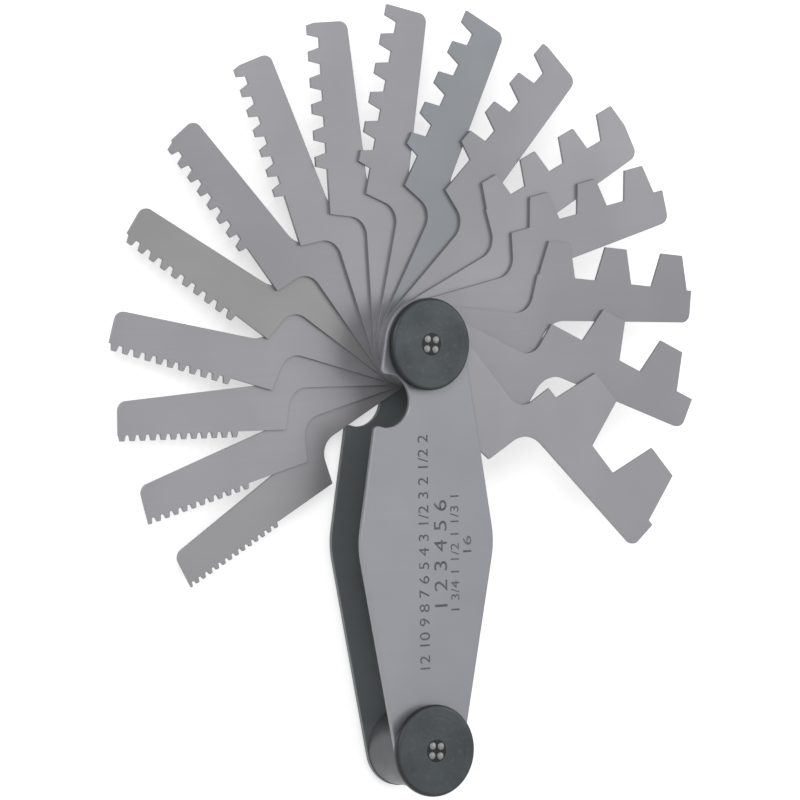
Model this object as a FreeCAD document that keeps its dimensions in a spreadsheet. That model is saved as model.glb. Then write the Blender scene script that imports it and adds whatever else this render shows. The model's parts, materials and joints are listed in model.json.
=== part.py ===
import FreeCAD, Part
import math
import os

import Sketcher

# Folding pitch gauge for 29 degree trapezoidal threads. Sixteen toothed leaves turn on one
# rivet between two steel covers. A bush holds the covers apart at the tail, and a turned
# disc is riveted on each end of both rivets.
#
# The gauge lies on its rear discs. The origin is on the leaf pivot, in the plane it rests
# on. +Z leaves the front cover and +Y runs along the case from the tail to the pivot.

os.makedirs("parts", exist_ok=True)
doc = FreeCAD.newDocument("thread_pitch_gauge")

# Driving dimensions in millimetres and degrees
CASE_SIZES = {
    "rivet_spacing": (98.7, "leaf pivot to tail rivet"),
    "cover_thickness": (1.0, "each cover"),
    "cover_pivot_radius": (11.2, "round end at the pivot"),
    "cover_tail_radius": (9.5, "round end at the tail"),
    "cover_half_width": (19.4, "case axis to the waist corner before rounding"),
    "cover_waist": (48.5, "pivot to the widest place along the case"),
    "cover_waist_rounding": (22.0, "radius that rounds the waist corner"),
    "notch_radius": (6.5, "thumb notch"),
    "notch_across": (11.0, "case axis to the notch centre"),
    "notch_along": (13.5, "pivot to the notch centre along the case"),
    "notch_corner_rounding": (1.2, "where the notch meets the side"),
    "bush_radius": (9.3, "bush that holds the covers apart"),
    "disc_radius": (11.2, "widest circle of a disc"),
    "disc_thickness": (3.0, "each disc"),
    "disc_face_chamfer": (0.9, "outer edge of a disc"),
    "rivet_radius": (2.5, "shank"),
    "stake_inside": (0.9, "rivet axis to the near end of a chisel mark in its front end"),
    "stake_outside": (2.2, "rivet axis to the far end of a chisel mark"),
    "stake_width": (0.9, "width of a chisel mark"),
    "stake_depth": (0.35, "depth of a chisel mark"),
}

LEAF_SIZES = {
    "leaf_thickness": (0.75, "each leaf"),
    "leaf_gap": (0.02, "oil film between leaves and beside the covers"),
    "leaf_hole_clearance": (0.05, "running clearance round the rivet"),
    "leaf_boss_radius": (10.0, "round end about the pivot"),
    "leaf_reach": (79.3, "pivot to the straight end of a leaf"),
    "leaf_root_line": (20.0, "pivot axis to the line of thread roots"),
    "leaf_end_rounding": (2.3, "back corner of the end"),
    "neck_foot": (31.3, "pivot to the foot of the neck wall"),
    "neck_ear": (33.0, "pivot to the ear on the toothed side"),
    "neck_rounding": (5.0, "inner corner of the neck"),
    "back_ear": (34.0, "pivot to the ear on the back"),
    "back_ear_drop": (4.5, "how far that ear lies behind the pivot axis"),
    "back_corner": (36.4, "pivot to the inner corner of the back"),
    "back_corner_height": (8.8, "pivot axis to that corner"),
    "back_end_height": (12.0, "pivot axis to the back at the end"),
    "back_rounding": (7.0, "inner corner of the back"),
    "tooth_foot": (1.0, "how deep a tooth is let into the blank"),
}

THREAD_SIZES = {
    "inch": (25.4, "pitch of one thread to the inch"),
    "depth_share": (0.5, "thread depth over pitch"),
    "crest_share": (0.3707, "width of a crest over pitch"),
}

# Threads to the inch, direction when fanned out, leaf end to the outermost crest, and the
# least distance from the ear to the teeth. The first leaf lies on the rear cover and the
# last one under the front cover.
LEAVES = {
    "leaf_tpi_12": (12, 209.2, 0.0, 17.0),
    "leaf_tpi_10": (10, 195.4, 0.3, 16.5),
    "leaf_tpi_9": (9, 180.1, 1.0, 12.5),
    "leaf_tpi_8": (8, 164.5, 1.6, 11.0),
    "leaf_tpi_7": (7, 146.0, 1.8, 9.5),
    "leaf_tpi_6": (6, 128.4, 1.9, 12.0),
    "leaf_tpi_5": (5, 109.8, 1.5, 11.0),
    "leaf_tpi_4": (4, 93.4, 1.7, 9.0),
    "leaf_tpi_3_1_2": (3.5, 77.2, 1.4, 5.0),
    "leaf_tpi_3": (3, 61.1, 1.6, 6.5),
    "leaf_tpi_2_1_2": (2.5, 44.3, 2.2, 8.0),
    "leaf_tpi_2": (2, 26.0, 3.9, 0.0),
    "leaf_tpi_1_3_4": (1.75, 12.6, 7.25, 3.0),
    "leaf_tpi_1_1_2": (1.5, 354.0, 6.7, 0.0),
    "leaf_tpi_1_1_3": (1.3333, 334.9, 11.1, 7.0),
    "leaf_tpi_1": (1, 311.2, 9.6, 1.0),
}
LEAF_CELLS = ("threads", "direction", "end_to_crest", "ear_to_teeth")

sheet = doc.addObject("Spreadsheet::Sheet", "Sizes")


def write_sizes():
    """One row for each driving dimension: its name, its value under that alias, a note."""
    groups = (CASE_SIZES, LEAF_SIZES, THREAD_SIZES)
    rows = [(name, size, note) for group in groups for name, (size, note) in group.items()]
    for leaf, sizes in LEAVES.items():
        rows += [(f"{leaf}_{cell}", size, "") for cell, size in zip(LEAF_CELLS, sizes)]
    for number, (name, size, note) in enumerate(rows, start=1):
        sheet.set(f"A{number}", name)
        sheet.set(f"B{number}", str(size))
        sheet.set(f"C{number}", note)
        sheet.setAlias(f"B{number}", name)
    doc.recompute()


write_sizes()

# Levels that several pieces share, from the plane the gauge rests on
LEAF_STEP = "(Sizes.leaf_thickness + Sizes.leaf_gap)"
PACK_FLOOR = "(Sizes.disc_thickness + Sizes.cover_thickness)"
PACK_HEIGHT = f"({len(LEAVES)} * {LEAF_STEP} + Sizes.leaf_gap)"
FRONT_COVER_FLOOR = f"({PACK_FLOOR} + {PACK_HEIGHT})"
FRONT_DISC_FLOOR = f"({FRONT_COVER_FLOOR} + Sizes.cover_thickness)"
TOTAL_HEIGHT = f"({FRONT_DISC_FLOOR} + Sizes.disc_thickness)"
UP = FreeCAD.Vector(0, 0, 1)
NEAR = 1e-4


def value(expression):
    """The number that an expression over the sheet has now."""
    result = sheet.evalExpression(str(expression))
    return float(getattr(result, "Value", result))


def point(across, along):
    return FreeCAD.Vector(value(across), value(along), 0)


def origin_plane(body, role):
    return next(part for part in body.Origin.OriginFeatures if part.Role == role)


def new_body(name):
    body = doc.addObject("PartDesign::Body", name)
    body.Label = name
    return body


def new_sketch(body, name, plane="XY_Plane", lift=None):
    """A sketch on one of the body's own planes, raised along its normal by lift."""
    sketch = body.newObject("Sketcher::SketchObject", name)
    sketch.AttachmentSupport = [(origin_plane(body, plane), "")]
    sketch.MapMode = "FlatFace"
    if lift:
        sketch.setExpression("AttachmentOffset.Base.z", lift)
    return sketch


def bind(sketch, kind, places, expression):
    """A dimension of the sketch that follows an expression over the sheet."""
    number = sketch.addConstraint(Sketcher.Constraint(kind, *places, value(expression)))
    sketch.setExpression(f"Constraints[{number}]", expression)


def tie(sketch, geometry, end, across=None, along=None):
    """Ties a point to the sketch's origin, with positive dimensions only."""
    for kind, expression in (("DistanceX", across), ("DistanceY", along)):
        if expression is None:
            continue
        if value(expression) < 0:
            bind(sketch, kind, (geometry, end, -1, 1), f"-({expression})")
        else:
            bind(sketch, kind, (-1, 1, geometry, end), expression)


def join(sketch, *constraint):
    sketch.addConstraint(Sketcher.Constraint(*constraint))


def polygon(sketch, corners):
    """A closed outline of straight lines, each corner tied to the origin."""
    points = [point(*corner) for corner in corners]
    ends = points[1:] + points[:1]
    lines = [sketch.addGeometry(Part.LineSegment(*pair)) for pair in zip(points, ends)]
    for line, following in zip(lines, lines[1:] + lines[:1]):
        join(sketch, "Coincident", line, 2, following, 1)
    for line, (across, along) in zip(lines, corners):
        tie(sketch, line, 1, across, along)


def circle(sketch, radius, across="0", along="0"):
    centre = point(across, along)
    ring = sketch.addGeometry(Part.Circle(centre, UP, value(radius)))
    bind(sketch, "Radius", (ring,), radius)
    tie(sketch, ring, 3, across, along)


def arc(sketch, centre, radius, start, end):
    """An arc whose centre and ends are still free, with its radius bound."""
    ring = Part.Circle(centre, UP, value(radius))
    number = sketch.addGeometry(Part.ArcOfCircle(ring, start, end))
    bind(sketch, "Radius", (number,), radius)
    return number


def touch_angle(centre, radius, target, side):
    """Where on a circle the tangent through target touches it."""
    reach = target - centre
    return math.atan2(reach.y, reach.x) + side * math.acos(radius / reach.Length)


def on_circle(centre, radius, angle):
    return centre + FreeCAD.Vector(math.cos(angle), math.sin(angle), 0) * radius


def pad(body, sketch, height):
    feature = body.newObject("PartDesign::Pad", f"{sketch.Name}Pad")
    feature.Profile = sketch
    feature.setExpression("Length", height)
    doc.recompute()
    return feature


def pocket(body, sketch, depth, upwards):
    """A cut from the sketch, along its normal when upwards is true."""
    before = body.Tip.Shape.Volume
    feature = body.newObject("PartDesign::Pocket", f"{sketch.Name}Cut")
    feature.Profile = sketch
    feature.Reversed = upwards
    feature.setExpression("Length", depth)
    doc.recompute()
    if feature.Shape.Volume > before - NEAR:
        raise RuntimeError(f"{body.Label}: {feature.Name} removes nothing")
    return feature


def upright_edges(shape, corners):
    """Names of the edges along Z that stand on the given corners."""
    names = []
    for number, edge in enumerate(shape.Edges, start=1):
        ends = [vertex.Point for vertex in edge.Vertexes]
        for corner in corners:
            if len(ends) == 2 and all(math.dist(end[:2], corner[:2]) < NEAR for end in ends):
                names.append(f"Edge{number}")
    return names


def fillet(body, corners, radius):
    """Rounds the upright edges on the given corners."""
    base = body.Tip
    feature = body.newObject("PartDesign::Fillet", "Fillet")
    feature.Base = (base, upright_edges(base.Shape, corners))
    feature.setExpression("Radius", radius)
    doc.recompute()
    return feature


def revolve(body, sketch):
    feature = body.newObject("PartDesign::Revolution", "Turned")
    feature.Profile = sketch
    feature.ReferenceAxis = (sketch, ["V_Axis"])
    feature.Angle = 360
    doc.recompute()
    return feature


def cover_outline(body):
    """Two round ends joined by straight sides that meet in a corner at the waist."""
    sketch = new_sketch(body, "Outline")
    tail = point("0", "-Sizes.rivet_spacing")
    pivot = FreeCAD.Vector(0, 0, 0)
    waist = point("Sizes.cover_half_width", "-Sizes.cover_waist")
    upper_radius = value("Sizes.cover_pivot_radius")
    lower_radius = value("Sizes.cover_tail_radius")
    upper_turn = touch_angle(pivot, upper_radius, waist, 1)
    lower_turn = touch_angle(tail, lower_radius, waist, -1)
    upper = arc(sketch, pivot, "Sizes.cover_pivot_radius", upper_turn, math.pi - upper_turn)
    lower = arc(sketch, tail, "Sizes.cover_tail_radius", math.pi - lower_turn,
                2 * math.pi + lower_turn)
    tie(sketch, upper, 3, "0", "0")
    tie(sketch, lower, 3, "0", "-Sizes.rivet_spacing")
    for side, upper_end, lower_end in ((1, 1, 2), (-1, 2, 1)):
        start = on_circle(pivot, upper_radius, upper_turn)
        end = on_circle(tail, lower_radius, lower_turn)
        corner = FreeCAD.Vector(side * waist.x, waist.y, 0)
        start.x *= side
        end.x *= side
        above = sketch.addGeometry(Part.LineSegment(start, corner))
        below = sketch.addGeometry(Part.LineSegment(corner, end))
        join(sketch, "Coincident", above, 2, below, 1)
        join(sketch, "Tangent", above, 1, upper, upper_end)
        join(sketch, "Tangent", below, 2, lower, lower_end)
        tie(sketch, above, 2, f"{side} * Sizes.cover_half_width", "-Sizes.cover_waist")
    circle(sketch, "Sizes.rivet_radius")
    circle(sketch, "Sizes.rivet_radius", along="-Sizes.rivet_spacing")
    return sketch


def notch_corners(shape):
    """The upright edges where the thumb notch runs out through the side of the cover."""
    centre = point("-Sizes.notch_across", "-Sizes.notch_along")
    radius = value("Sizes.notch_radius")
    corners = []
    for edge in shape.Edges:
        if len(edge.Vertexes) != 2:
            continue
        foot, head = (vertex.Point for vertex in edge.Vertexes)
        upright = math.dist(foot[:2], head[:2]) < NEAR
        if upright and abs(math.dist(foot[:2], centre[:2]) - radius) < NEAR:
            corners.append(foot)
    return corners


def make_cover(name, floor):
    body = new_body(name)
    pad(body, cover_outline(body), "Sizes.cover_thickness")
    waist = [point(f"{side} * Sizes.cover_half_width", "-Sizes.cover_waist")
             for side in (1, -1)]
    fillet(body, waist, "Sizes.cover_waist_rounding")
    notch = new_sketch(body, "Notch")
    circle(notch, "Sizes.notch_radius", "-Sizes.notch_across", "-Sizes.notch_along")
    pocket(body, notch, "Sizes.cover_thickness", upwards=True)
    fillet(body, notch_corners(body.Tip.Shape), "Sizes.notch_corner_rounding")
    body.setExpression("Placement.Base.z", floor)
    return body


def make_bush(name):
    body = new_body(name)
    sketch = new_sketch(body, "Ring")
    circle(sketch, "Sizes.bush_radius")
    circle(sketch, "Sizes.rivet_radius")
    pad(body, sketch, PACK_HEIGHT)
    body.setExpression("Placement.Base.y", "-Sizes.rivet_spacing")
    body.setExpression("Placement.Base.z", PACK_FLOOR)
    return body


def make_disc(name, rear, at_tail):
    """A turned disc, bored for the rivet. A rear one is the same part turned over."""
    body = new_body(name)
    sketch = new_sketch(body, "Profile", plane="XZ_Plane")
    polygon(sketch, [
        ("Sizes.rivet_radius", "0"),
        ("Sizes.disc_radius", "0"),
        ("Sizes.disc_radius", "Sizes.disc_thickness - Sizes.disc_face_chamfer"),
        ("Sizes.disc_radius - Sizes.disc_face_chamfer", "Sizes.disc_thickness"),
        ("Sizes.rivet_radius", "Sizes.disc_thickness"),
    ])
    revolve(body, sketch)
    if rear:
        body.Placement.Rotation = FreeCAD.Rotation(FreeCAD.Vector(1, 0, 0), 180)
    floor = "Sizes.disc_thickness" if rear else FRONT_DISC_FLOOR
    body.setExpression("Placement.Base.z", floor)
    if at_tail:
        body.setExpression("Placement.Base.y", "-Sizes.rivet_spacing")
    return body


def make_rivet(name, at_tail):
    """A rivet flush with both discs, staked by four chisel marks in its front end."""
    body = new_body(name)
    sketch = new_sketch(body, "Shank")
    circle(sketch, "Sizes.rivet_radius")
    pad(body, sketch, TOTAL_HEIGHT)
    mark = new_sketch(body, "Mark", lift=TOTAL_HEIGHT)
    polygon(mark, [
        ("Sizes.stake_inside", "-Sizes.stake_width / 2"),
        ("Sizes.stake_outside", "-Sizes.stake_width / 2"),
        ("Sizes.stake_outside", "Sizes.stake_width / 2"),
        ("Sizes.stake_inside", "Sizes.stake_width / 2"),
    ])
    first = pocket(body, mark, "Sizes.stake_depth", upwards=False)
    marks = body.newObject("PartDesign::PolarPattern", "Marks")
    marks.Originals = [first]
    marks.Axis = (mark, ["N_Axis"])
    marks.Angle = 360
    marks.Occurrences = 4
    body.Tip = marks
    if at_tail:
        body.setExpression("Placement.Base.y", "-Sizes.rivet_spacing")
    return body


def leaf_blank(body):
    """Round boss, narrow neck, two ears and a long blade, before any tooth."""
    sketch = new_sketch(body, "Blank")
    pivot = FreeCAD.Vector(0, 0, 0)
    boss = value("Sizes.leaf_boss_radius")
    corners = [
        ("Sizes.neck_foot", "Sizes.leaf_boss_radius"),
        ("Sizes.neck_ear", "Sizes.leaf_root_line"),
        ("Sizes.leaf_reach", "Sizes.leaf_root_line"),
        ("Sizes.leaf_reach", "Sizes.back_end_height"),
        ("Sizes.back_corner", "Sizes.back_corner_height"),
        ("Sizes.back_ear", "-Sizes.back_ear_drop"),
    ]
    points = [point(*corner) for corner in corners]
    turn = 2 * math.pi + touch_angle(pivot, boss, points[-1], -1)
    ring = arc(sketch, pivot, "Sizes.leaf_boss_radius", math.pi / 2, turn)
    stops = [FreeCAD.Vector(0, boss, 0)] + points + [on_circle(pivot, boss, turn)]
    lines = [sketch.addGeometry(Part.LineSegment(*pair)) for pair in zip(stops, stops[1:])]
    for line, following in zip(lines, lines[1:]):
        join(sketch, "Coincident", line, 2, following, 1)
    tie(sketch, ring, 3, "0", "0")
    join(sketch, "Tangent", lines[0], 1, ring, 1)
    join(sketch, "Tangent", lines[-1], 2, ring, 2)
    join(sketch, "Horizontal", lines[0])
    tie(sketch, lines[0], 2, across=corners[0][0])
    for line, corner in zip(lines[1:-1], corners[1:]):
        tie(sketch, line, 2, *corner)
    circle(sketch, "Sizes.rivet_radius + Sizes.leaf_hole_clearance")
    pad(body, sketch, "Sizes.leaf_thickness")
    return points


def make_leaf(name, number):
    """One gauge leaf, built pointing along +X with its teeth on the +Y side."""
    body = new_body(name)
    neck, _, _, back_end, back_inner, _ = leaf_blank(body)
    fillet(body, [neck], "Sizes.neck_rounding")
    fillet(body, [back_inner], "Sizes.back_rounding")
    fillet(body, [back_end], "Sizes.leaf_end_rounding")

    pitch = f"(Sizes.inch / Sizes.{name}_threads)"
    centre = f"(Sizes.leaf_reach - Sizes.{name}_end_to_crest)"
    half_crest = f"Sizes.crest_share / 2 * {pitch}"
    half_root = f"(1 - Sizes.crest_share) / 2 * {pitch}"
    row_start = f"(Sizes.neck_ear + Sizes.{name}_ear_to_teeth)"
    gaps = f"floor(({centre} - {half_root} - {row_start}) / {pitch})"
    bottom = "Sizes.leaf_root_line - Sizes.tooth_foot"
    crest = f"Sizes.leaf_root_line + Sizes.depth_share * {pitch}"
    tooth = new_sketch(body, "Tooth")
    polygon(tooth, [
        (f"{centre} - {half_root}", bottom),
        (f"{centre} + {half_root}", bottom),
        (f"{centre} + {half_root}", "Sizes.leaf_root_line"),
        (f"{centre} + {half_crest}", crest),
        (f"{centre} - {half_crest}", crest),
        (f"{centre} - {half_root}", "Sizes.leaf_root_line"),
    ])
    first = pad(body, tooth, "Sizes.leaf_thickness")
    teeth = body.newObject("PartDesign::LinearPattern", "Teeth")
    teeth.Originals = [first]
    teeth.Direction = (tooth, ["H_Axis"])
    teeth.Reversed = True
    teeth.setExpression("Length", f"{gaps} * {pitch}")
    teeth.setExpression("Occurrences", f"{gaps} + 1")
    body.Tip = teeth
    doc.recompute()

    if value(f"{centre} + {half_root}") > value("Sizes.leaf_reach"):
        trim = new_sketch(body, "Trim")
        polygon(trim, [
            ("Sizes.leaf_reach", bottom),
            (f"Sizes.leaf_reach + {pitch}", bottom),
            (f"Sizes.leaf_reach + {pitch}", f"{crest} + Sizes.tooth_foot"),
            ("Sizes.leaf_reach", f"{crest} + Sizes.tooth_foot"),
        ])
        pocket(body, trim, "Sizes.leaf_thickness", upwards=True)

    floor = f"{PACK_FLOOR} + Sizes.leaf_gap + {number} * {LEAF_STEP}"
    turned = f"rotation(vector(0; 0; 1); Sizes.{name}_direction)"
    body.setExpression("Placement", f"placement(vector(0; 0; {floor}); {turned})")
    return body


bodies = [
    make_cover("rear_cover", "Sizes.disc_thickness"),
    make_cover("front_cover", FRONT_COVER_FLOOR),
    make_disc("rear_pivot_disc", rear=True, at_tail=False),
    make_disc("front_pivot_disc", rear=False, at_tail=False),
    make_disc("rear_tail_disc", rear=True, at_tail=True),
    make_disc("front_tail_disc", rear=False, at_tail=True),
    make_rivet("pivot_rivet", at_tail=False),
    make_rivet("tail_rivet", at_tail=True),
    make_bush("tail_bush"),
]
bodies += [make_leaf(name, number) for number, name in enumerate(LEAVES)]
doc.recompute()


def check():
    """Stops the build when any object is broken or any body is not one sound solid."""
    for item in doc.Objects:
        if "Invalid" in item.State or "Error" in item.State:
            raise RuntimeError(f"{item.Label} is in state {item.State}")
    for body in bodies:
        shape = body.Shape
        if shape.isNull() or not shape.isValid() or len(shape.Solids) != 1:
            raise RuntimeError(f"{body.Label} is not one sound solid")


check()
for body in bodies:
    body.Shape.exportStep(f"parts/{body.Label}.step")
    box = body.Shape.BoundBox
    print(f"{body.Label:18s} {body.Shape.Volume:9.1f} mm3", box)
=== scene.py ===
import json
import math
import operator

import bmesh
import bpy
from mathutils import Matrix, Vector


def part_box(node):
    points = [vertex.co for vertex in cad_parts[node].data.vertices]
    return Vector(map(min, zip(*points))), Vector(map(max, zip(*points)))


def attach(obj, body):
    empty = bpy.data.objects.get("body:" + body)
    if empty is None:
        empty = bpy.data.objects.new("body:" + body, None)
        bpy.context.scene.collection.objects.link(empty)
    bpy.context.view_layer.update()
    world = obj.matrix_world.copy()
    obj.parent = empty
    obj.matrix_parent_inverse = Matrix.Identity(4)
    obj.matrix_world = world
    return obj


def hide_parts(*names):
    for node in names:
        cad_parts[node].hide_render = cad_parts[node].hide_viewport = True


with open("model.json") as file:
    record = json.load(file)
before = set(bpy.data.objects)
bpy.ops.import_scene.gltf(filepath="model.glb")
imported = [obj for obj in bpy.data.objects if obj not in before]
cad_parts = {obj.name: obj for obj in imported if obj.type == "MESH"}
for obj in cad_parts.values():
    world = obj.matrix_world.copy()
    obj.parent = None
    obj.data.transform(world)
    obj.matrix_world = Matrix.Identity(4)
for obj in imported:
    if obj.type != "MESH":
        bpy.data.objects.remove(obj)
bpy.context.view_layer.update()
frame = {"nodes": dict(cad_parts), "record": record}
mm = 0.001

caseNodes = frame["record"]["behaviour"]["bodies"]["case"]
leafNodes = [name for name in frame["nodes"] if name.startswith("leaf_")]
print("frame loaded:", len(frame["nodes"]), "nodes")


# ---- nodes of a material

def newMaterial(name, colour, metal, roughness):
    material = bpy.data.materials.new(name)
    material.use_nodes = True
    shader = material.node_tree.nodes["Principled BSDF"]
    shader.inputs["Base Color"].default_value = (*colour, 1)
    shader.inputs["Metallic"].default_value = metal
    shader.inputs["Roughness"].default_value = roughness
    return material, material.node_tree, shader


def addNode(tree, kind, inputs=None, **settings):
    node = tree.nodes.new(kind)
    for name, setting in settings.items():
        setattr(node, name, setting)
    for socket, value in (inputs or {}).items():
        if isinstance(value, bpy.types.NodeSocket):
            tree.links.new(value, node.inputs[socket])
        else:
            node.inputs[socket].default_value = value
    return node


def objectPlace(tree, angle=0.0, stretch=(1, 1, 1)):
    # object coordinates in metres, turned about Z and stretched
    source = addNode(tree, "ShaderNodeTexCoord")
    mapping = addNode(tree, "ShaderNodeMapping", {
        "Vector": source.outputs["Object"], "Rotation": (0, 0, -angle), "Scale": stretch},
        vector_type="POINT")
    return mapping.outputs["Vector"]


def noise(tree, place, scale, detail=4.0, roughness=0.55):
    node = addNode(tree, "ShaderNodeTexNoise", {
        "Vector": place, "Scale": scale, "Detail": detail, "Roughness": roughness})
    return node.outputs["Fac"]


def ramp(tree, factor, stops):
    node = addNode(tree, "ShaderNodeValToRGB", {"Fac": factor})
    elements = node.color_ramp.elements
    while len(elements) < len(stops):
        elements.new(0.5)
    for element, (position, grey) in zip(elements, stops):
        element.position = position
        element.color = (grey, grey, grey, 1)
    return node.outputs["Color"]


def mixColour(tree, factor, first, second, blend="MIX"):
    node = addNode(tree, "ShaderNodeMix", data_type="RGBA", blend_type=blend)
    for socket, value in ((0, factor), (6, first), (7, second)):
        if isinstance(value, bpy.types.NodeSocket):
            tree.links.new(value, node.inputs[socket])
        else:
            node.inputs[socket].default_value = value if socket == 0 else (*value, 1)
    return node.outputs[2]


# ---- steel finishes

leafSteel = {
    "colour": (0.315, 0.310, 0.330),
    "paler": (0.350, 0.345, 0.365),
    "roughness": (0.40, 0.48),
    "metal": 0.45,
    "grainScale": 700.0,
    "grainShare": 0.5,  # how much of the grain shows in the colour
    "cloudScale": 22.0,
    "cloudShade": 0.95,
    "grainDepth": 0.000012,
    "wearAndHighlightWidth": 0.00018,
    "wearAndHighlightGain": 1.25,
}


def groundSteel(name, size, angle):
    # fine grain along one direction, faint cloudiness, and paler edges that are partly wear and partly
    # painted highlight
    material, tree, shader = newMaterial(name, size["colour"], size["metal"], size["roughness"][0])
    grainPlace = objectPlace(tree, angle, (0.02, 1.0, 1.0))
    grain = noise(tree, grainPlace, size["grainScale"], 6.0)
    clouds = noise(tree, objectPlace(tree), size["cloudScale"], 3.0)
    shade = ramp(tree, grain, [(0.25, 0.0), (0.75, size["grainShare"])])
    cloud = ramp(tree, clouds, [(0.30, 0.0), (0.70, 1.0)])
    colour = mixColour(tree, shade, size["colour"], size["paler"])
    darker = tuple(channel * size["cloudShade"] for channel in size["colour"])
    colour = mixColour(tree, cloud, colour, darker)
    bevel = addNode(tree, "ShaderNodeBevel", {"Radius": size["wearAndHighlightWidth"]}, samples=4)
    plain = addNode(tree, "ShaderNodeNewGeometry")
    edge = addNode(tree, "ShaderNodeVectorMath", {0: bevel.outputs["Normal"], 1: plain.outputs["Normal"]},
                   operation="DOT_PRODUCT")
    # paler edges: partly wear, partly painted highlight
    wearAndHighlight = ramp(tree, edge.outputs["Value"], [(0.80, 0.7), (0.99, 0.0)])
    colour = mixColour(tree, wearAndHighlight, colour, tuple(channel * size["wearAndHighlightGain"] for channel in size["paler"]))
    tree.links.new(colour, shader.inputs["Base Color"])
    low, high = size["roughness"]
    rough = addNode(tree, "ShaderNodeMapRange", {"Value": cloud, "To Min": low, "To Max": high})
    tree.links.new(rough.outputs["Result"], shader.inputs["Roughness"])
    bump = addNode(tree, "ShaderNodeBump", {
        "Height": grain, "Distance": size["grainDepth"], "Strength": 0.3,
        "Normal": bevel.outputs["Normal"]})
    tree.links.new(bump.outputs["Normal"], shader.inputs["Normal"])
    return material


def turnedSteel(name, size, centre):
    # turned and blackened: faint rings about the rivet axis, with oil patches, and painted shade
    # darkening the sloping faces
    material, tree, shader = newMaterial(name, size["colour"], size["metal"], size["roughness"][0])
    source = addNode(tree, "ShaderNodeTexCoord")
    shifted = addNode(tree, "ShaderNodeMapping", {
        "Vector": source.outputs["Object"], "Location": (0, -centre, 0)}, vector_type="POINT")
    rings = addNode(tree, "ShaderNodeTexWave", {
        "Vector": shifted.outputs["Vector"], "Scale": size["ringScale"], "Distortion": 0.6,
        "Detail": 3.0, "Detail Scale": 2.0}, wave_type="RINGS", rings_direction="Z")
    patches = noise(tree, shifted.outputs["Vector"], size["patchScale"], 4.0)
    fine = noise(tree, shifted.outputs["Vector"], size["speckScale"], 5.0)
    ring = ramp(tree, rings.outputs["Fac"], [(0.0, 0.0), (1.0, size["ringShare"])])
    patch = ramp(tree, patches, [(0.35, 0.0), (0.65, 1.0)])
    speck = ramp(tree, fine, [(0.55, 0.0), (0.75, 0.5)])
    colour = mixColour(tree, ring, size["colour"], size["paler"])
    colour = mixColour(tree, patch, colour, tuple(channel * 0.86 for channel in size["colour"]))
    colour = mixColour(tree, speck, colour, size["paler"])
    # painted shade: faces that slope away from upright are darkened towards a quarter of the colour
    slope = addNode(tree, "ShaderNodeSeparateXYZ", {
        "Vector": addNode(tree, "ShaderNodeNewGeometry").outputs["Normal"]})
    paintedRimShade = ramp(tree, slope.outputs["Z"], [(0.60, 0.75), (0.97, 0.0)])
    colour = mixColour(tree, paintedRimShade, colour, tuple(channel * 0.25 for channel in size["colour"]))
    tree.links.new(colour, shader.inputs["Base Color"])
    low, high = size["roughness"]
    rough = addNode(tree, "ShaderNodeMapRange", {"Value": patch, "To Min": low, "To Max": high})
    tree.links.new(rough.outputs["Result"], shader.inputs["Roughness"])
    bevel = addNode(tree, "ShaderNodeBevel", {"Radius": size["edgeWidth"]}, samples=6)
    bump = addNode(tree, "ShaderNodeBump", {
        "Height": rings.outputs["Fac"], "Distance": size["ringDepth"], "Strength": 0.3,
        "Normal": bevel.outputs["Normal"]})
    tree.links.new(bump.outputs["Normal"], shader.inputs["Normal"])
    return material


def paint(node, material):
    for place in node.material_slots:
        place.material = material
    if not node.material_slots:
        node.data.materials.append(material)


def finishPiece(name, shape, material):
    # turns a bmesh into a piece that belongs to the case
    mesh = bpy.data.meshes.new(name)
    shape.to_mesh(mesh)
    shape.free()
    piece = bpy.data.objects.new(name, mesh)
    bpy.context.scene.collection.objects.link(piece)
    paint(piece, material)
    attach(piece, "case")
    return piece


def turnProfile(outline, axis, steps):
    # spins a closed outline of (radius, height) about the rivet axis
    shape = bmesh.new()
    ring = [shape.verts.new((across, 0, rise)) for across, rise in outline]
    edges = [shape.edges.new(pair) for pair in zip(ring, ring[1:] + ring[:1])]
    bmesh.ops.spin(shape, geom=ring + edges, cent=(0, 0, 0), axis=(0, 0, 1), dvec=(0, 0, 0),
                   angle=2 * math.pi, steps=steps, use_merge=True)
    bmesh.ops.remove_doubles(shape, verts=shape.verts, dist=0.001 * mm)
    bmesh.ops.recalc_face_normals(shape, faces=shape.faces)
    bmesh.ops.translate(shape, vec=(0, axis, 0), verts=shape.verts)
    return shape


leafTurns = {  # direction of each blade about the pivot, in degrees
    "leaf_tpi_12": 209.2, "leaf_tpi_10": 195.4, "leaf_tpi_9": 180.1, "leaf_tpi_8": 164.5,
    "leaf_tpi_7": 146.0, "leaf_tpi_6": 128.4, "leaf_tpi_5": 109.8, "leaf_tpi_4": 93.4,
    "leaf_tpi_3_1_2": 77.2, "leaf_tpi_3": 61.1, "leaf_tpi_2_1_2": 44.3, "leaf_tpi_2": 26.0,
    "leaf_tpi_1_3_4": 12.6, "leaf_tpi_1_1_2": 354.0, "leaf_tpi_1_1_3": 334.9, "leaf_tpi_1": 311.2,
}
leafPaintedReflections = {  # painted reflection: blades painted a little darker, cooler or warmer for the light their steel reflects
    "leaf_tpi_12": (0.97, 0.97, 0.95), "leaf_tpi_7": (0.94, 0.95, 0.90), "leaf_tpi_6": (0.92, 0.92, 0.93),
    "leaf_tpi_3": (0.80, 0.86, 0.88), "leaf_tpi_3_1_2": (0.95, 0.95, 0.97),
    "leaf_tpi_2_1_2": (0.94, 0.95, 0.96), "leaf_tpi_1_3_4": (0.90, 0.90, 0.90),
    "leaf_tpi_1_1_2": (0.84, 0.84, 0.85), "leaf_tpi_1_1_3": (0.90, 0.90, 0.92),
}
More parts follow.
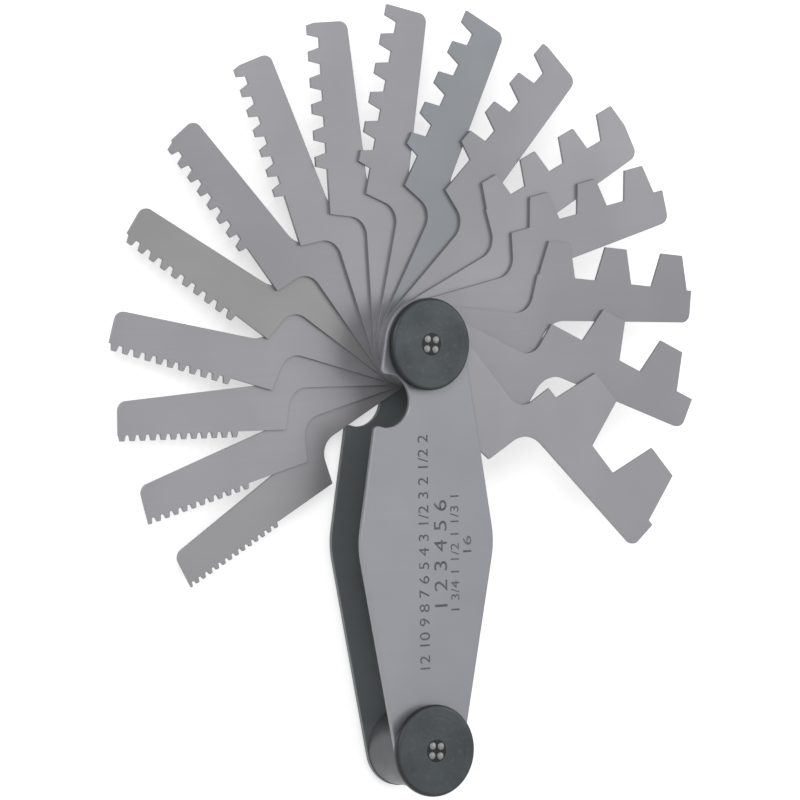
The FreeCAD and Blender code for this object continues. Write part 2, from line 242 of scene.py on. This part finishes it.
for name in leafNodes:
    # each blade's colour is scaled by its painted reflection
    paintedReflection = leafPaintedReflections.get(name, (1, 1, 1))
    finish = dict(leafSteel,
                  colour=tuple(map(operator.mul, leafSteel["colour"], paintedReflection)),
                  paler=tuple(map(operator.mul, leafSteel["paler"], paintedReflection)))
    paint(frame["nodes"][name], groundSteel(name + "Steel", finish, math.radians(leafTurns[name])))

# painted highlight: the front cover's edges get a wider, brighter pale band
frontSteel = dict(leafSteel, colour=(0.300, 0.305, 0.335), paler=(0.330, 0.335, 0.365),
                  wearAndHighlightWidth=0.0009, wearAndHighlightGain=1.7)
# painted shade: the rear cover is the same steel painted darker, for the shade it lies in behind the
# front cover
rearShadedSteel = dict(leafSteel, colour=(0.180, 0.200, 0.205), paler=(0.210, 0.230, 0.235))
paint(frame["nodes"]["front_cover"], groundSteel("frontCoverSteel", frontSteel, math.radians(90)))
paint(frame["nodes"]["rear_cover"], groundSteel("rearCoverShadedSteel", rearShadedSteel, math.radians(90)))

blackSteel = {
    "colour": (0.052, 0.062, 0.067),
    "paler": (0.085, 0.098, 0.104),
    "metal": 0.4,
    "roughness": (0.34, 0.46),
    "ringScale": 260.0,
    "ringShare": 0.08,
    "patchScale": 130.0,
    "speckScale": 900.0,
    "ringDepth": 0.000002,
    "edgeWidth": 0.0007,
}
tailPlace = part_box("tail_rivet")
tailAxis = (tailPlace[0][1] + tailPlace[1][1]) / 2
rivetSteel = dict(blackSteel, colour=(0.075, 0.088, 0.094), paler=(0.16, 0.17, 0.18), edgeWidth=0.0002)
bushSteel = dict(blackSteel, colour=(0.24, 0.245, 0.26), paler=(0.30, 0.305, 0.32), edgeWidth=0.0003)
for name in caseNodes:
    axis = tailAxis if "tail" in name else 0.0
    if name.endswith("_disc"):
        paint(frame["nodes"][name], turnedSteel(name + "Steel", blackSteel, axis))
    if name.endswith("_rivet"):
        paint(frame["nodes"][name], turnedSteel(name + "Steel", rivetSteel, axis))
    if name.endswith("_bush"):
        paint(frame["nodes"][name], turnedSteel(name + "Steel", bushSteel, axis))
print("finishes set")


# ---- front discs: a knob on a narrower hub

knob = {
    "bore": 2.5 * mm,
    "hubRadius": 8.5 * mm,
    "hubHeight": 0.9 * mm,
    "grooveRadius": 8.2 * mm,
    "grooveWidth": 0.25 * mm,
    "grooveDepth": 0.08 * mm,
    "rimRounding": 0.75 * mm,
    "rimTurn": 15,  # degrees between the rim's points
    "turnSteps": 96,
    "flatFrom": 0.999,  # faces whose normal is this near to upright stay flat
}


def makeKnob(cadName, axis):
    low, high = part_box(cadName)
    radius = (high[0] - low[0]) / 2
    floor = low[2]
    top = high[2]
    step = knob["rimRounding"]
    paintedRimShade = [(radius - step * (1 - math.cos(math.radians(turn))), step * math.sin(math.radians(turn)))
           for turn in range(0, 91, knob["rimTurn"])]
    lowRim = [(across, floor + knob["hubHeight"] + step - rise) for across, rise in reversed(paintedRimShade)]
    highRim = [(across, top - step + rise) for across, rise in paintedRimShade]
    groove = knob["grooveRadius"]
    half = knob["grooveWidth"] / 2
    outline = [(knob["bore"], floor), (knob["hubRadius"], floor),
               (knob["hubRadius"], floor + knob["hubHeight"])]
    outline += lowRim + highRim
    outline += [(groove + half, top), (groove, top - knob["grooveDepth"]), (groove - half, top),
                (knob["bore"], top)]
    shape = turnProfile(outline, axis, knob["turnSteps"])
    for face in shape.faces:
        face.smooth = abs(face.normal.z) < knob["flatFrom"]
    piece = finishPiece(cadName + "Knob", shape, turnedSteel(cadName + "KnobSteel", blackSteel, axis))
    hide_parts(cadName)


makeKnob("front_pivot_disc", 0.0)
makeKnob("front_tail_disc", tailAxis)
print("knobs turned")


# ---- rear discs: plain seats that stay inside the round ends of the cover

seat = {
    "radius": 7.6 * mm,
    "bore": 2.5 * mm,
    "edgeRounding": 0.3 * mm,
    "turnSteps": 72,
}


def makeSeat(cadName, axis):
    low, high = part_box(cadName)
    outline = [(seat["bore"], low[2]), (seat["radius"] - seat["edgeRounding"], low[2]),
               (seat["radius"], low[2] + seat["edgeRounding"]), (seat["radius"], high[2]),
               (seat["bore"], high[2])]
    shape = turnProfile(outline, axis, seat["turnSteps"])
    piece = finishPiece(cadName + "Seat", shape, turnedSteel(cadName + "SeatSteel", blackSteel, axis))
    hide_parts(cadName)


makeSeat("rear_pivot_disc", 0.0)
makeSeat("rear_tail_disc", tailAxis)
print("seats turned")


# ---- lobes raised by the staking, painted pale as a painted highlight, on a thin near-black disc of painted shade, on the front rivet ends

stake = {
    "lobes": 4,
    "firstTurn": 40.0,  # degrees
    "reach": 1.65 * mm,
    "radius": 0.95 * mm,
    "rise": 0.32 * mm,
    "shadeSheetRadius": 2.75 * mm,
    "shadeSheetThickness": 0.02 * mm,
}
# painted highlight: the lobes get a much paler steel than the rivet
lobeHighlightSteel = dict(blackSteel, colour=(0.30, 0.31, 0.31), paler=(0.42, 0.43, 0.43), edgeWidth=0.0001)
# painted shade: a near-black thin disc laid on the rivet end, standing in for the shade around the lobes
shadeSheetSteel = dict(blackSteel, colour=(0.010, 0.011, 0.012), paler=(0.02, 0.02, 0.02), edgeWidth=0.0001)


def makeStakes(cadName, axis):
    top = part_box(cadName)[1][2]
    lobes = bmesh.new()
    for number in range(stake["lobes"]):
        turn = math.radians(stake["firstTurn"] + number * 360 / stake["lobes"])
        place = Vector((stake["reach"] * math.cos(turn), axis + stake["reach"] * math.sin(turn), top))
        size = Matrix.Diagonal((stake["radius"], stake["radius"], stake["rise"], 1))
        bmesh.ops.create_uvsphere(lobes, u_segments=20, v_segments=12, radius=1,
                                  matrix=Matrix.Translation(place) @ size)
    for face in lobes.faces:
        face.smooth = True
    # painted shade: the thin dark disc under the lobes
    shadeSheet = bmesh.new()
    bmesh.ops.create_cone(shadeSheet, cap_ends=True, segments=48, radius1=stake["shadeSheetRadius"],
                          radius2=stake["shadeSheetRadius"], depth=stake["shadeSheetThickness"],
                          matrix=Matrix.Translation((0, axis, top + stake["shadeSheetThickness"] / 2)))
    for name, shape, finish in (("Lobes", lobes, lobeHighlightSteel), ("ShadeSheet", shadeSheet, shadeSheetSteel)):
        finishPiece(cadName + name, shape, turnedSteel(cadName + name + "Steel", finish, axis))


makeStakes("pivot_rivet", 0.0)
makeStakes("tail_rivet", tailAxis)
print("rivets staked")


# ---- plain numbers, a thin dark layer on the front cover, read from the tail to the pivot

etching = {
    "colour": (0.085, 0.085, 0.095),
    "depth": 0.012 * mm,
    "columns": (  # words, height, place across, start and end along the case in millimetres
        ("12 10 9 8 7 6 5 4 3 1/2 3 2 1/2 2", 2.9, -1.0, -79.0, -22.0),
        ("1 2 3 4 5 6", 3.7, 3.8, -64.0, -38.0),
        ("1 3/4 1 1/2 1 1/3 1", 2.4, 7.9, -65.0, -37.0),
        ("16", 2.4, 11.5, -51.0, -47.0),
    ),
}


def etchedInk():
    material, tree, shader = newMaterial("etchedInk", etching["colour"], 0.2, 0.6)
    place = objectPlace(tree)
    wornAway = ramp(tree, noise(tree, place, 900.0, 4.0), [(0.45, 0.0), (0.75, 0.7)])
    pale = tuple(channel * 2.2 for channel in etching["colour"])
    colour = mixColour(tree, wornAway, etching["colour"], pale)
    tree.links.new(colour, shader.inputs["Base Color"])
    rough = addNode(tree, "ShaderNodeMapRange", {
        "Value": noise(tree, place, 300.0), "To Min": 0.5, "To Max": 0.7})
    tree.links.new(rough.outputs["Result"], shader.inputs["Roughness"])
    return material


def etchNumbers(ink):
    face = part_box("front_cover")[1][2]
    for number, (words, height, across, start, end) in enumerate(etching["columns"], start=1):
        curve = bpy.data.curves.new(f"numbers{number}", "FONT")
        curve.body = words
        draft = bpy.data.objects.new(f"draft{number}", curve)
        bpy.context.scene.collection.objects.link(draft)
        mesh = bpy.data.meshes.new_from_object(draft.evaluated_get(bpy.context.evaluated_depsgraph_get()))
        bpy.data.objects.remove(draft)
        shape = bmesh.new()
        shape.from_mesh(mesh)
        lows = [min(vertex.co[side] for vertex in shape.verts) for side in (0, 1)]
        highs = [max(vertex.co[side] for vertex in shape.verts) for side in (0, 1)]
        stretch = ((end - start) * mm / (highs[0] - lows[0]), height * mm / (highs[1] - lows[1]), 1)
        bmesh.ops.translate(shape, vec=(-lows[0], -(lows[1] + highs[1]) / 2, 0), verts=shape.verts)
        bmesh.ops.scale(shape, vec=stretch, verts=shape.verts)
        flat = bmesh.ops.extrude_face_region(shape, geom=list(shape.faces))
        raised = [part for part in flat["geom"] if isinstance(part, bmesh.types.BMVert)]
        bmesh.ops.translate(shape, vec=(0, 0, etching["depth"]), verts=raised)
        bmesh.ops.recalc_face_normals(shape, faces=shape.faces)
        bmesh.ops.rotate(shape, cent=(0, 0, 0), matrix=Matrix.Rotation(math.radians(90), 3, "Z"),
                         verts=shape.verts)
        bmesh.ops.translate(shape, vec=(across * mm, start * mm, face), verts=shape.verts)
        finishPiece(f"etchedNumbers{number}", shape, ink)


etchNumbers(etchedInk())
print("numbers etched")


# ---- floor, lights and camera

studio = {
    "floorSide": 6.0,
    "floorGlow": 0.55,
    "worldStrength": 0.55,
    "aim": (0, -0.02, 0.01),
    "keyPlace": (-0.9, 0.6, 1.3),
    "keySize": 0.7,
    "keyPower": 9.0,
    "fillPlace": (0.9, 0.2, 1.0),
    "fillSize": 0.9,
    "fillPower": 4.0,
}


def whiteToEye(tree, shader, glow):
    # the camera, and metal that mirrors the floor, see it lifted to white
    path = addNode(tree, "ShaderNodeLightPath")
    seen = addNode(tree, "ShaderNodeMath", {
        0: path.outputs["Is Camera Ray"], 1: path.outputs["Is Glossy Ray"]}, operation="MAXIMUM")
    seen = addNode(tree, "ShaderNodeMath", {
        0: seen.outputs["Value"], 1: path.outputs["Is Transmission Ray"]}, operation="MAXIMUM")
    lifted = addNode(tree, "ShaderNodeMath", {0: seen.outputs["Value"], 1: glow}, operation="MULTIPLY")
    tree.links.new(lifted.outputs["Value"], shader.inputs["Emission Strength"])
    shader.inputs["Emission Color"].default_value = (1, 1, 1, 1)


def makeFloor():
    mesh = bpy.data.meshes.new("floor")
    shape = bmesh.new()
    bmesh.ops.create_grid(shape, x_segments=1, y_segments=1, size=studio["floorSide"] / 2)
    shape.to_mesh(mesh)
    shape.free()
    floor = bpy.data.objects.new("floor", mesh)
    bpy.context.scene.collection.objects.link(floor)
    material, tree, shader = newMaterial("floorWhite", (0.80, 0.80, 0.80), 0.0, 0.9)
    whiteToEye(tree, shader, studio["floorGlow"])
    paint(floor, material)


makeFloor()


def areaLight(name, place, aim, size, power):
    lamp = bpy.data.lights.new(name, "AREA")
    lamp.shape = "SQUARE"
    lamp.size = size
    lamp.energy = power
    light = bpy.data.objects.new(name, lamp)
    bpy.context.scene.collection.objects.link(light)
    light.location = place
    light.rotation_euler = (Vector(aim) - Vector(place)).to_track_quat("-Z", "Y").to_euler()


areaLight("keyLight", studio["keyPlace"], studio["aim"], studio["keySize"], studio["keyPower"])
areaLight("fillLight", studio["fillPlace"], studio["aim"], studio["fillSize"], studio["fillPower"])

world = bpy.data.worlds.new("studio")
world.use_nodes = True
bpy.context.scene.world = world
background = world.node_tree.nodes["Background"]
background.inputs["Color"].default_value = (1, 1, 1, 1)
background.inputs["Strength"].default_value = studio["worldStrength"]

cameraPose = {  # right, up, back and place of the camera, in metres
    "right": (0.84494, -0.01246, 0.53472),
    "up": (0.02651, 0.99947, -0.01860),
    "back": (-0.53421, 0.02989, 0.84482),
    "place": (-0.7520, 0.0283, 1.1950),
    "lens": 259.3,
}


def makeCamera():
    lens = bpy.data.cameras.new("camera")
    lens.lens = cameraPose["lens"]
    lens.sensor_width = 36.0
    camera = bpy.data.objects.new("camera", lens)
    bpy.context.scene.collection.objects.link(camera)
    columns = [Vector(cameraPose[key]) for key in ("right", "up", "back", "place")]
    turn = Matrix([columns[0], columns[1], columns[2]]).transposed()
    camera.matrix_world = Matrix.Translation(columns[3]) @ turn.to_4x4()
    bpy.context.scene.camera = camera


makeCamera()
bpy.context.scene.view_settings.view_transform = "Standard"

print("scene done")
